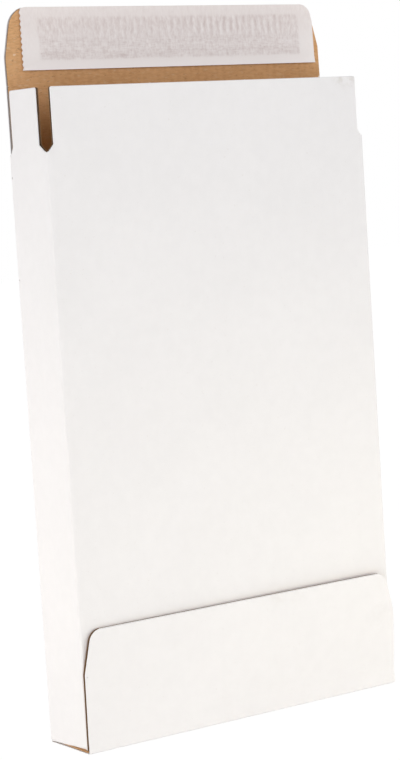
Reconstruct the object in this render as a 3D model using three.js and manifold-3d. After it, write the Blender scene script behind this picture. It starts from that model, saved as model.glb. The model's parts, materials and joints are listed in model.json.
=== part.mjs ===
// A flat letter mailer of white-faced corrugated board, standing on its closed end with its mouth open.
// Millimetres, +Z up. X runs along the width, -Y is the front, and the origin is under the middle of the base.
import * as THREE from 'three';
import { mergeVertices } from 'three/addons/utils/BufferGeometryUtils.js';
import Module from 'manifold-3d';

const wasm = await Module();
wasm.setup();

// Board and tube
const BOARD = 1.5; // caliper of the board
const WIDTH = 160.5; // outside of the tube, side to side
const DEPTH = 28.6; // outside of the tube, front to back
const HEIGHT = 240.3; // front crease above the base
const FOLD_RADIUS = 1.2; // outside of a fold
const CREASE_GAP = 0.3; // slit along each top crease
const LAYER_GAP = 0.1; // between layers that fold over one another
const REAR_RISE = 0.1; // rear crease above the front crease

// Corner slots between the top flaps
const SLOT_RISE = 2.9; // height of a slot's V above the front crease
const SLOT_TOE = 0.3; // a dust flap's base to the inner face of the panel beside it
const SLOT_EAR = 0.9; // the front flap's base to the side of the tube

// Top flaps, each measured from its own crease
const FRONT_FLAP = 25.4;
const FRONT_LEFT_INSET = 3.7;
const FRONT_RIGHT_INSET = 2.8;
const DUST_FLAP = 27;
const DUST_FRONT_INSET = 5.4;
const DUST_REAR_INSET = 3.4;
const FLAP_CORNER = 0.8;
const SEAL_FLAP = 31.5;
const SEAL_LEAN = THREE.MathUtils.degToRad(1.5); // how far the seal flap leans back from the lid
const CLOSURE_LEFT_INSET = 0.6; // lid and seal flap to the side of the tube
const CLOSURE_RIGHT_INSET = 0.2;

// Tapered ends of the seal flap and of the bottom flap
const SEAL_LEFT_TAPER = 20; // from the kink to the end
const SEAL_RIGHT_TAPER = 18.3;
const BOTTOM_TAPER = 17.5;
const TAPER_INSET = 4.2;
const TAPER_CORNER = 5.5;
const SEAL_LEFT_CORNER = 9; // softer than the others
const TAPER_KINK = 3; // rounding where the taper starts

// Closed end
const BOTTOM_FLAP = 50; // reach of the glued flap up the front
const BOTTOM_RIGHT_INSET = 0.5; // bottom panel and flap to the right side of the tube
const INNER_FLAP = 24; // reach of the front panel's own bottom flap

// Glue lap inside the rear right corner
const LAP_WIDTH = 20;
const LAP_MARGIN = 9; // lap to the creases at both ends
const LAP_SLANT = 7;

// Self-seal tape on the inside of the seal flap
const ADHESIVE_THICKNESS = 0.2;
const ADHESIVE_WIDTH = 17.3;
const ADHESIVE_DROP = 4.3; // below the flap's end
const ADHESIVE_LEFT = 9.1; // from the liner's left end
const ADHESIVE_RIGHT = 8.8; // from the liner's right end
const LINER_THICKNESS = 0.15;
const LINER_WIDTH = 25.4;
const LINER_LEFT = 7.4; // from the flap's left side
const LINER_RIGHT = 2.5; // from the flap's right side
const LINER_EDGE = 0.15; // trimmed inside the flap's outline
const TOOTH_PITCH = 2.27;
const TOOTH_DEPTH = 0.7;

// Levels and faces that the pieces share
const HALF_WIDTH = WIDTH / 2;
const LEAN_REACH = SEAL_FLAP * Math.sin(SEAL_LEAN) - BOARD * (1 - Math.cos(SEAL_LEAN));
const REAR = (DEPTH + BOARD - LEAN_REACH) / 2; // outer face of the back panel
const FRONT = REAR - DEPTH; // outer face of the front panel
const LAYER = BOARD + LAYER_GAP;
const FRONT_CREASE = HEIGHT;
const DUST_CREASE = FRONT_CREASE - LAYER;
const REAR_CREASE = FRONT_CREASE + REAR_RISE;
const SLOT_TOP = FRONT_CREASE + SLOT_RISE;
const HALF_GAP = CREASE_GAP / 2;
const LID_PANEL = DEPTH - BOARD; // rear crease to the crease at the mouth's front edge
const CLOSURE_LEFT = CLOSURE_LEFT_INSET - HALF_WIDTH;
const CLOSURE_RIGHT = HALF_WIDTH - CLOSURE_RIGHT_INSET;
const BOTTOM_RIGHT = HALF_WIDTH - BOTTOM_RIGHT_INSET;
const DUST_BASE_FRONT = FRONT + BOARD + SLOT_TOE;
const DUST_BASE_REAR = REAR - BOARD - SLOT_TOE;
const ARC_STEPS = 6;
const CUT = 2 * BOARD; // how far a cutting block runs past the board

// Frames for flat pieces: the outline's two axes and the way its thickness grows
const UPWARD = new THREE.Matrix4();
const FACING_FRONT = new THREE.Matrix4().makeBasis(
  new THREE.Vector3(1, 0, 0),
  new THREE.Vector3(0, 0, 1),
  new THREE.Vector3(0, -1, 0),
);
const FACING_RIGHT = new THREE.Matrix4().makeBasis(
  new THREE.Vector3(0, 1, 0),
  new THREE.Vector3(0, 0, 1),
  new THREE.Vector3(1, 0, 0),
);

// A closed outline through corners [u, v, radius], each rounded as far as its sides allow.
function outline(corners) {
  const count = corners.length;
  const shape = new THREE.Shape();
  const vectors = corners.map(([u, v]) => new THREE.Vector2(u, v));
  corners.forEach(([, , radius = 0], i) => {
    const here = vectors[i];
    const before = vectors[(i + count - 1) % count].clone().sub(here);
    const after = vectors[(i + 1) % count].clone().sub(here);
    const half = Math.acos(before.dot(after) / (before.length() * after.length())) / 2;
    const room = 0.49 * Math.min(before.length(), after.length());
    const reach = Math.min(radius / Math.tan(half), room);
    const points = [];
    if (reach > 0) {
      const start = here.clone().add(before.clone().setLength(reach));
      const end = here.clone().add(after.clone().setLength(reach));
      const out = before.clone().normalize().add(after.clone().normalize()).normalize();
      const centre = here.clone().add(out.multiplyScalar(reach / Math.cos(half)));
      const from = start.clone().sub(centre);
      const turn = Math.atan2(from.cross(end.clone().sub(centre)), from.dot(end.clone().sub(centre)));
      for (let step = 0; step <= ARC_STEPS; step += 1) {
        points.push(start.clone().rotateAround(centre, (turn * step) / ARC_STEPS));
      }
    } else {
      points.push(here);
    }
    points.forEach((point, j) => {
      if (i === 0 && j === 0) {
        shape.moveTo(point.x, point.y);
      } else {
        shape.lineTo(point.x, point.y);
      }
    });
  });
  shape.closePath();
  return shape;
}

// A flat piece of an outline, its thickness growing from the plane `from` of its frame.
function plate(shape, thickness, frame, from = 0) {
  const geometry = new THREE.ExtrudeGeometry(shape, { depth: thickness, bevelEnabled: false });
  geometry.translate(0, 0, from);
  geometry.applyMatrix4(frame);
  return geometry;
}

// A block between two corners.
function block(low, high) {
  const geometry = new THREE.BoxGeometry(high[0] - low[0], high[1] - low[1], high[2] - low[2]);
  geometry.translate((low[0] + high[0]) / 2, (low[1] + high[1]) / 2, (low[2] + high[2]) / 2);
  return geometry;
}

function toSolid(geometry) {
  const bare = geometry.clone();
  bare.deleteAttribute('normal');
  bare.deleteAttribute('uv');
  const merged = mergeVertices(bare, 1e-5);
  const vertProperties = new Float32Array(merged.attributes.position.array);
  const triVerts = new Uint32Array(merged.index.array);
  return new wasm.Manifold(new wasm.Mesh({ numProp: 3, vertProperties, triVerts }));
}

function toGeometry(solid) {
  const { vertProperties, triVerts } = solid.getMesh();
  const geometry = new THREE.BufferGeometry();
  geometry.setAttribute('position', new THREE.BufferAttribute(vertProperties, 3));
  geometry.setIndex(new THREE.BufferAttribute(triVerts, 1));
  const flat = geometry.toNonIndexed();
  flat.computeVertexNormals();
  return flat;
}

function board(name) {
  const material = new THREE.MeshStandardMaterial({ color: 0xece9e7, roughness: 0.85, metalness: 0 });
  material.name = `${name}_board`;
  return material;
}

function mesh(name, geometry, material) {
  const made = new THREE.Mesh(geometry, material);
  made.name = name;
  return made;
}

// A rectangle about the middle of the tube, with rounded corners.
function section(halfWidth, front, rear, radius) {
  return [
    [-halfWidth, front, radius],
    [halfWidth, front, radius],
    [halfWidth, rear, radius],
    [-halfWidth, rear, radius],
  ];
}

// A flap's outline from `base` to `end`. Each side is straight up to its kink, then tapers in to a round corner.
function taperedOutline([left, leftTaper, leftCorner], [right, rightTaper, rightCorner], base, end) {
  return outline([
    [left, base],
    [right, base],
    [right, end - rightTaper, TAPER_KINK],
    [right - TAPER_INSET, end, rightCorner],
    [left + TAPER_INSET, end, leftCorner],
    [left, end - leftTaper, TAPER_KINK],
  ]);
}

// The tube: front, back and side panels round one section, cut down to each panel's crease.
function makeTube() {
  const ring = outline(section(HALF_WIDTH, FRONT, REAR, FOLD_RADIUS));
  const inner = Math.max(FOLD_RADIUS - BOARD, 0);
  const inside = section(HALF_WIDTH - BOARD, FRONT + BOARD, REAR - BOARD, inner);
  ring.holes.push(outline(inside.reverse()));
  const top = REAR_CREASE - HALF_GAP;
  let tube = toSolid(plate(ring, top - BOARD, UPWARD, BOARD));
  const low = DUST_CREASE - HALF_GAP;
  const far = HALF_WIDTH + CUT;
  const high = top + CUT;
  const mouthFront = FRONT + BOARD;
  const cuts = [
    block([-far, FRONT - CUT, FRONT_CREASE - HALF_GAP], [far, mouthFront, high]),
    block([-far, mouthFront, low], [far, REAR - BOARD, high]),
  ];
  cuts.forEach((cut) => {
    tube = tube.subtract(toSolid(cut));
  });
  // The side panels turn in at the closed end on round folds.
  const corner = Math.min(FOLD_RADIUS, 0.8 * BOARD);
  [-1, 1].forEach((side) => {
    const rounding = new THREE.Shape();
    rounding.moveTo(0, 0);
    rounding.lineTo(corner, 0);
    for (let step = 0; step <= ARC_STEPS; step += 1) {
      const angle = (Math.PI / 2) * (step / ARC_STEPS);
      rounding.lineTo(corner * (1 - Math.sin(angle)), corner * (1 - Math.cos(angle)));
    }
    rounding.lineTo(0, corner);
    rounding.closePath();
    const run = new THREE.ExtrudeGeometry(rounding, { depth: DEPTH + 2 * CUT, bevelEnabled: false });
    const inward = new THREE.Vector3(-side, 0, 0);
    const along = new THREE.Vector3(0, side, 0);
    run.applyMatrix4(new THREE.Matrix4().makeBasis(inward, new THREE.Vector3(0, 0, 1), along));
    run.translate(side * HALF_WIDTH, side > 0 ? FRONT - CUT : REAR + CUT, BOARD);
    tube = tube.subtract(toSolid(run));
  });
  return tube;
}

// The closed end: the bottom panel from the back, its flap up the front, and the flaps folded in under it.
function makeClosedEnd() {
  const wrap = outline([
    [REAR, 2 * BOARD],
    [REAR, 0, FOLD_RADIUS],
    [FRONT - BOARD, 0, FOLD_RADIUS],
    [FRONT - BOARD, 2 * BOARD],
    [FRONT, 2 * BOARD],
    [FRONT, BOARD],
    [REAR - BOARD, BOARD],
    [REAR - BOARD, 2 * BOARD],
  ]);
  const bottom = toSolid(plate(wrap, HALF_WIDTH + BOTTOM_RIGHT, FACING_RIGHT, -HALF_WIDTH));
  const flapShape = taperedOutline(
    [-HALF_WIDTH, BOTTOM_TAPER, TAPER_CORNER],
    [BOTTOM_RIGHT, BOTTOM_TAPER, TAPER_CORNER],
    2 * BOARD - LAYER_GAP,
    BOTTOM_FLAP,
  );
  const flap = plate(flapShape, BOARD, FACING_FRONT, -FRONT);
  const inner = HALF_WIDTH - BOARD;
  const overlap = BOARD / 2;
  const dustLow = FRONT + DUST_FRONT_INSET;
  const dustHigh = REAR - DUST_REAR_INSET;
  const leftEnd = -inner + DUST_FLAP;
  const left = block([-inner - overlap, dustLow, BOARD], [leftEnd, dustHigh, 2 * BOARD]);
  const right = block([-leftEnd, dustLow, BOARD], [inner + overlap, dustHigh, 2 * BOARD]);
  const frontInner = FRONT + BOARD;
  const tuck = block(
    [-HALF_WIDTH + FRONT_LEFT_INSET, frontInner - overlap, 2 * BOARD],
    [HALF_WIDTH - FRONT_RIGHT_INSET, frontInner + INNER_FLAP, 3 * BOARD],
  );
  return [toSolid(flap), toSolid(left), toSolid(right), toSolid(tuck)].reduce((sum, one) => sum.add(one), bottom);
}

// The lap that closes the tube, glued inside the back panel along the right side.
function makeGlueLap() {
  const low = 3 * BOARD + LAP_MARGIN;
  const high = DUST_CREASE - LAP_MARGIN;
  const edge = HALF_WIDTH - BOARD;
  const shape = outline([
    [edge - LAP_WIDTH, low + LAP_SLANT],
    [edge, low],
    [edge + BOARD / 2, low],
    [edge + BOARD / 2, high],
    [edge, high],
    [edge - LAP_WIDTH, high - LAP_SLANT],
  ]);
  return toSolid(plate(shape, 1.5 * BOARD, FACING_FRONT, -(REAR - BOARD / 2)));
}

const mailer = new THREE.Group();
mailer.name = 'letter_mailer';

const body = makeTube().add(makeClosedEnd()).add(makeGlueLap());
mailer.add(mesh('carton_body', toGeometry(body), board('carton_body')));

// Front flap: stands on the front panel and folds in over the mouth.
const frontHinge = new THREE.Group();
frontHinge.position.set(0, FRONT + BOARD, FRONT_CREASE);
const frontShape = outline([
  [-HALF_WIDTH + SLOT_EAR, HALF_GAP],
  [HALF_WIDTH - SLOT_EAR, HALF_GAP],
  [HALF_WIDTH - FRONT_RIGHT_INSET, SLOT_RISE],
  [HALF_WIDTH - FRONT_RIGHT_INSET, FRONT_FLAP, FLAP_CORNER],
  [-HALF_WIDTH + FRONT_LEFT_INSET, FRONT_FLAP, FLAP_CORNER],
  [-HALF_WIDTH + FRONT_LEFT_INSET, SLOT_RISE],
]);
frontHinge.add(mesh('front_flap', plate(frontShape, BOARD, FACING_FRONT), board('front_flap')));
mailer.add(frontHinge);

// Dust flaps: stand on the side panels and fold in first, under the front flap.
function makeDustFlap(side) {
  const name = side < 0 ? 'left_dust_flap' : 'right_dust_flap';
  const hinge = new THREE.Group();
  hinge.position.set(side * (HALF_WIDTH - BOARD), 0, DUST_CREASE);
  const shape = outline([
    [DUST_BASE_FRONT, HALF_GAP],
    [DUST_BASE_REAR, HALF_GAP],
    [REAR - DUST_REAR_INSET, SLOT_TOP - DUST_CREASE],
    [REAR - DUST_REAR_INSET, DUST_FLAP, FLAP_CORNER],
    [FRONT + DUST_FRONT_INSET, DUST_FLAP, FLAP_CORNER],
    [FRONT + DUST_FRONT_INSET, SLOT_TOP - DUST_CREASE],
  ]);
  const geometry = plate(shape, BOARD, FACING_RIGHT, side < 0 ? -BOARD : 0);
  hinge.add(mesh(name, geometry, board(name)));
  return hinge;
}
mailer.add(makeDustFlap(-1));
mailer.add(makeDustFlap(1));

// Closure: the lid panel stands on the back panel, and the seal flap stands on the lid panel.
const rearHinge = new THREE.Group();
rearHinge.position.set(0, REAR, REAR_CREASE);
const lidShape = outline([
  [CLOSURE_LEFT, HALF_GAP],
  [CLOSURE_RIGHT, HALF_GAP],
  [CLOSURE_RIGHT, LID_PANEL - HALF_GAP],
  [CLOSURE_LEFT, LID_PANEL - HALF_GAP],
]);
rearHinge.add(mesh('lid_panel', plate(lidShape, BOARD, FACING_FRONT), board('lid_panel')));
mailer.add(rearHinge);

const sealHinge = new THREE.Group();
sealHinge.position.set(0, -BOARD, LID_PANEL);
sealHinge.rotation.x = -SEAL_LEAN;
const sealLeft = [CLOSURE_LEFT, SEAL_LEFT_TAPER, SEAL_LEFT_CORNER];
const sealRight = [CLOSURE_RIGHT, SEAL_RIGHT_TAPER, TAPER_CORNER];
const sealShape = taperedOutline(sealLeft, sealRight, HALF_GAP, SEAL_FLAP);
sealHinge.add(mesh('seal_flap', plate(sealShape, BOARD, FACING_FRONT, -BOARD), board('seal_flap')));
rearHinge.add(sealHinge);

// Self-seal tape: a strip of adhesive under a wider liner, which is pinked at its left end.
const linerLeft = CLOSURE_LEFT + LINER_LEFT;
const linerRight = CLOSURE_RIGHT - LINER_RIGHT;
const linerLow = SEAL_FLAP - LINER_WIDTH;
const adhesiveHigh = SEAL_FLAP - ADHESIVE_DROP;
const adhesiveShape = outline([
  [linerLeft + ADHESIVE_LEFT, adhesiveHigh - ADHESIVE_WIDTH],
  [linerRight - ADHESIVE_RIGHT, adhesiveHigh - ADHESIVE_WIDTH],
  [linerRight - ADHESIVE_RIGHT, adhesiveHigh],
  [linerLeft + ADHESIVE_LEFT, adhesiveHigh],
]);
const adhesiveMaterial = new THREE.MeshStandardMaterial({ color: 0xc8b8b4, roughness: 0.5, metalness: 0 });
adhesiveMaterial.name = 'adhesive';
const adhesive = plate(adhesiveShape, ADHESIVE_THICKNESS, FACING_FRONT);
sealHinge.add(mesh('adhesive_strip', adhesive, adhesiveMaterial));

const teeth = Math.max(Math.round(LINER_WIDTH / TOOTH_PITCH), 1);
const pinked = [
  [linerRight, linerLow],
  [linerRight, SEAL_FLAP],
];
for (let tooth = teeth; tooth > 0; tooth -= 1) {
  const step = LINER_WIDTH / teeth;
  pinked.push([linerLeft, linerLow + tooth * step]);
  pinked.push([linerLeft + TOOTH_DEPTH, linerLow + (tooth - 0.5) * step]);
}
pinked.push([linerLeft, linerLow]);
const linerBlank = plate(outline(pinked), LINER_THICKNESS, FACING_FRONT, ADHESIVE_THICKNESS);
const trimShape = taperedOutline(
  [CLOSURE_LEFT + LINER_EDGE, SEAL_LEFT_TAPER, SEAL_LEFT_CORNER],
  [CLOSURE_RIGHT - LINER_EDGE, SEAL_RIGHT_TAPER, TAPER_CORNER],
  HALF_GAP,
  SEAL_FLAP - LINER_EDGE,
);
const trim = plate(trimShape, LINER_THICKNESS, FACING_FRONT, ADHESIVE_THICKNESS);
const liner = toGeometry(toSolid(linerBlank).intersect(toSolid(trim)));
const linerMaterial = new THREE.MeshStandardMaterial({ color: 0xdcd4d2, roughness: 0.6, metalness: 0 });
linerMaterial.name = 'release_paper';
sealHinge.add(mesh('release_liner', liner, linerMaterial));

export default mailer;
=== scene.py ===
"""Looks of a letter mailer of white-faced corrugated board, laid out as an add-on and run as a script."""

import json
import math

import bmesh
import bpy
from mathutils import Matrix, Vector


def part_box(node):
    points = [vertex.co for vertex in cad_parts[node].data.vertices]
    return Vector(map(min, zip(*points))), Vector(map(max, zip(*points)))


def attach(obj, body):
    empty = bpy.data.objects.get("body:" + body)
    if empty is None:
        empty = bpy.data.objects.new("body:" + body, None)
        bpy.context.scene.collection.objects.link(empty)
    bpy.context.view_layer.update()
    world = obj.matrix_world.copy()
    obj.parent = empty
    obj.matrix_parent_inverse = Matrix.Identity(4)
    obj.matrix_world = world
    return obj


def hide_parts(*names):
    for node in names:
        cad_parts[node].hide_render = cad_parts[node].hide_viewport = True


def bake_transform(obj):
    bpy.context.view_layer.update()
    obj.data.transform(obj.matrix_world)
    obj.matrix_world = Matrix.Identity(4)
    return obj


bl_info = {
    "name": "Letter mailer",
    "version": (1, 0, 0),
    "blender": (4, 5, 0),
    "location": "View3D > Sidebar > Mailer",
    "description": "Builds a white corrugated letter mailer with open flaps and a self-seal tape",
    "category": "Object",
}

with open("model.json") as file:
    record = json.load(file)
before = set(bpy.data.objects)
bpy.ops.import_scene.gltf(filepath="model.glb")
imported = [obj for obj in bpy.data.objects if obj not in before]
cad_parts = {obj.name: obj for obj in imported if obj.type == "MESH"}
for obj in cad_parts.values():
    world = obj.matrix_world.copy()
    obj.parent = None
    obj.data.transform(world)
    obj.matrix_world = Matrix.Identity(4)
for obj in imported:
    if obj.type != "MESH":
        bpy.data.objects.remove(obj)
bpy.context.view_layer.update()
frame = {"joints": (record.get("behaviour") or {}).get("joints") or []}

# Sizes below are millimetres until a vertex is made
MM = 0.001
TURN = 2 * math.pi

BODY_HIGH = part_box("carton_body")[1] / MM
FLAP_LOW, FLAP_HIGH = [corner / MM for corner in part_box("front_flap")]
HINGES = {joint["name"]: Vector(joint["pos_m"]) / MM for joint in frame["joints"]}

# The board and the tube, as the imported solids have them
BOARD = FLAP_HIGH.y - FLAP_LOW.y
HALF = BODY_HIGH.x
FRONT = FLAP_LOW.y
REAR = BODY_HIGH.y
FRONT_CREASE = HINGES["front_fold"].z
DUST_CREASE = HINGES["left_dust_fold"].z
REAR_CREASE = HINGES["lid_fold"].z
SEAL_CREASE = HINGES["seal_fold"].z
GAP = FLAP_LOW.z - FRONT_CREASE
FOLD_RADIUS = 1.2
BASE_FOLD = 0.6

# Slots beside the top flaps
SLOT_RISE = 2.9
SLOT_TOE = 0.3
SLOT_CLEARANCE = 0.05
SLOT_EAR = max(HALF - FLAP_HIGH.x, BOARD + SLOT_CLEARANCE)
SLOT_FOOT = 0.35
SLOT_DIP = 0.5
FRONT_LEFT = 3.7
FRONT_RIGHT = 2.8
DUST_FRONT = 5.4
DUST_REAR = 3.4
FLAP_CORNER = 0.8

# Tabs that the die left on the front flap's edge: their places along it, then their sizes
NICKS = (-29.1, 18.6)
NICK_ROOT = 0.45
NICK_TIP = 0.3
NICK_SINK = 0.3
NICK_RISE = 0.08
NICK_CORNER = 0.1
NICK_THICKNESS = 0.3

# Closure flap and glued bottom flap
SEAL_LEAN = math.radians(1.5)
CLOSURE_LEFT, CLOSURE_RIGHT = [corner.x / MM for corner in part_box("lid_panel")]
SEAL_LENGTH = 31.5
SEAL_LEFT_TAPER = 20.0
SEAL_RIGHT_TAPER = 18.3
BOTTOM_TAPER = 17.5
BOTTOM_RIGHT = HALF - 0.5
BOTTOM_FLAP = 50.0
TAPER_INSET = 4.2
TAPER_CORNER = 5.5
SEAL_LEFT_CORNER = 9.0
TAPER_KINK = 3.0
INNER_FLAP = 24.0
DUST_LENGTH = 27.0

# Glue lap
LAP_WIDTH = 20.0
LAP_MARGIN = 9.0
LAP_SLANT = 7.0

# Tape
TAPE_LEFT = CLOSURE_LEFT + 7.4
TAPE_RIGHT = CLOSURE_RIGHT - 2.5
TAPE_WIDTH = 25.4
TAPE_SLANT = 0.4
TAPE_TRIM = 0.02
TAPE_LIFT = 0.5
TAPE_THICKNESS = 0.15
GLUE_LEFT = TAPE_LEFT + 9.1
GLUE_RIGHT = TAPE_RIGHT - 8.8
GLUE_HIGH = SEAL_LENGTH - 4.3
GLUE_LOW = GLUE_HIGH - 17.3
GLUE_CORNER = 0.4
GLUE_THICKNESS = 0.2

# Cut edges, where the die pressed the white face back over the flutes
PRESS_WIDTHS = (0.25, 0.4)
PRESS_SHARES = (1.0, 0.3)
PRESS_MARGIN = 0.7
PRESS_FLAP = 0.2
PRESS_LID = 0.65
PRESS_BOTTOM = 0.2
PRESS_TOP = 0.5
BOTTOM_MARGIN = PRESS_MARGIN / 2
BASE_MARGIN = PRESS_MARGIN / 6
BROWN_SETBACK = 0.35
CREASE_REACH = 1.4

# Set of the glued bottom flap: it stands off a little towards its upper edge, most at the right
BOW_BASE = 8.0
BOW_LEFT = 0.6
BOW_RIGHT = 2.1
BOW_COLUMNS = range(-60, 61, 20)
BOW_ROWS = range(int(BOW_BASE), int(BOTTOM_FLAP), 5)

# The closed end's left edge: the bottom panel lies askew under the side panel
SKEW = 0.8
SAG_FRONT = 0.1
SAG_REAR = 1.0

# Skins that carry each face over a crease
SKIN_REACH = 1.5
SKIN_EDGE = 1.0
SKIN_BEND = 0.4
SKIN_STEPS = 10
SKIN_ROWS = [-SKIN_BEND + 2 * SKIN_BEND * i / SKIN_STEPS for i in range(SKIN_STEPS + 1)]
SKIN_PROUD = 0.006
SKIN_DEPTH = 0.06
SKIN_DENT = 0.004
DENT_REACH = 0.55

# How finely shapes are divided, and how near points are taken to be the same
ARC_STEPS = 6
FLUTE_STEPS = 8
CORNER_SHARE = 0.49
NEAR = 0.01
MERGE = 0.001

# Least part of a face's normal that counts as outward, or as sideways
OUTWARD = 0.5
SIDEWAYS = 0.9

# Places in a piece's list of finishes
WHITE, BROWN, EDGE, SIDE_WHITE = range(4)

# Which of x and y runs across the flutes
SIDE_FLUTES = (0, 1)
FRONT_FLUTES = (1, 0)


def srgb(*levels):
    """Linear colour for display levels from 0 to 255."""
    shares = [level / 255 for level in levels]
    return tuple(s / 12.92 if s <= 0.04045 else ((s + 0.055) / 1.055) ** 2.4 for s in shares)


def length_setting(name, description, default, least):
    """A length that a user can change, given in millimetres."""
    return bpy.props.FloatProperty(
        name=name, description=description, default=default * MM, min=least * MM, unit="LENGTH", precision=6
    )


def colour_setting(name, description, default):
    """A colour that a user can change."""
    return bpy.props.FloatVectorProperty(
        name=name, description=description, default=default, min=0.0, max=1.0, subtype="COLOR"
    )


def power_setting(name, description, default):
    """A lamp's power that a user can change."""
    return bpy.props.FloatProperty(name=name, description=description, default=default, min=0.0, unit="POWER")


class BoardSettings(bpy.types.PropertyGroup):
    """Board of the mailer."""

    face: length_setting("Face thickness", "Thickness of each paper face of the board", 0.25, 0.05)
    medium: length_setting("Medium thickness", "Thickness of the fluted paper between the faces", 0.18, 0.05)
    pitch: length_setting("Flute pitch", "Distance from one flute to the next", 3.4, 1.0)
    white: colour_setting("White face", "Colour of the bleached outer face", srgb(241, 239, 240))
    white_shade: colour_setting(
        "White face, cloudy", "Colour of the outer face where its fibres lie thin", srgb(237, 235, 236)
    )
    kraft: colour_setting("Brown face", "Colour of the unbleached inner face", srgb(224, 175, 126))
    kraft_shade: colour_setting(
        "Brown face, dark fibres", "Colour of the inner face's darker fibres", srgb(205, 155, 106)
    )
    # Painted shade: the cut edge's colour is the fluted paper's own, darkened to stand in for shade in the
    # flute hollows
    edge: colour_setting("Cut edge", "Colour of the fluted paper seen at a cut edge", srgb(136, 108, 82))


class TapeSettings(bpy.types.PropertyGroup):
    """Self-seal tape on the closure flap."""

    tooth: length_setting("Tooth pitch", "Distance between the teeth of the pinked end", 2.27, 0.3)
    bite: length_setting("Tooth depth", "Depth of the teeth of the pinked end", 0.7, 0.1)
    paper: colour_setting("Liner", "Colour of the release liner at its border", srgb(252, 246, 244))
    stuck: colour_setting(
        "Liner over adhesive", "Colour of the liner where the adhesive shows through", srgb(214, 199, 196)
    )
    glue: colour_setting("Adhesive", "Colour of the adhesive film", srgb(198, 176, 166))


class StageSettings(bpy.types.PropertyGroup):
    """Floor, lamps and camera."""

    floor: colour_setting("Floor", "Colour of the floor", (0.92, 0.92, 0.92))
    sky: bpy.props.FloatProperty(
        name="Ambient level", description="Brightness of the even light from all round", default=1.55, min=0.0
    )
    front_lamp: power_setting("Front lamp", "Power of the soft lamp in front", 0.57)
    side_card: power_setting("Side card", "Power of the low reflector at the left", 0.265)
    front_card: power_setting("Front card", "Power of the low reflector in front", 0.17)
    lens: bpy.props.FloatProperty(
        name="Lens",
        description="Focal length of the camera",
        default=106.178,
        min=10.0,
        subtype="DISTANCE_CAMERA",
    )


class MailerSettings(bpy.types.PropertyGroup):
    """Everything about the mailer that a user would change."""

    board: bpy.props.PointerProperty(type=BoardSettings)
    tape: bpy.props.PointerProperty(type=TapeSettings)
    stage: bpy.props.PointerProperty(type=StageSettings)


class Wire:
    """A socket of a node tree. Arithmetic on it adds Math nodes."""

    def __init__(self, wiring, socket):
        self.wiring = wiring
        self.socket = socket

    def maths(self, operation, *others):
        sockets = dict(enumerate((self, *others)))
        return self.wiring.node("ShaderNodeMath", {"operation": operation}, sockets)

    def reflected(self, operation, other):
        return self.wiring.node("ShaderNodeMath", {"operation": operation}, {0: other, 1: self})

    def __add__(self, other):
        return self.maths("ADD", other)

    __radd__ = __add__

    def __sub__(self, other):
        return self.maths("SUBTRACT", other)

    def __rsub__(self, other):
        return self.reflected("SUBTRACT", other)

    def __mul__(self, other):
        return self.maths("MULTIPLY", other)

    __rmul__ = __mul__

    def __truediv__(self, other):
        return self.maths("DIVIDE", other)

    def __rtruediv__(self, other):
        return self.reflected("DIVIDE", other)


class Wiring:
    """A node tree, cleared, whose nodes all come from one method."""

    def __init__(self, tree):
        self.nodes = tree.nodes
        self.links = tree.links
        self.nodes.clear()

    def node(self, kind, settings=None, sockets=None, out=0):
        """Adds a node: its settings first, then the values or links of its sockets."""
        made = self.nodes.new(kind)
        for key, value in (settings or {}).items():
            setattr(made, key, value)
        for key, value in (sockets or {}).items():
            socket = self.find(made.inputs, key)
            if isinstance(value, Wire):
                self.links.new(value.socket, socket)
            else:
                socket.default_value = value
        return made if out is None else Wire(self, self.find(made.outputs, out))

    @staticmethod
    def find(sockets, key):
        if isinstance(key, int):
            return sockets[key]
        return next(s for s in sockets if key in (s.identifier, s.name) and s.enabled)


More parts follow.
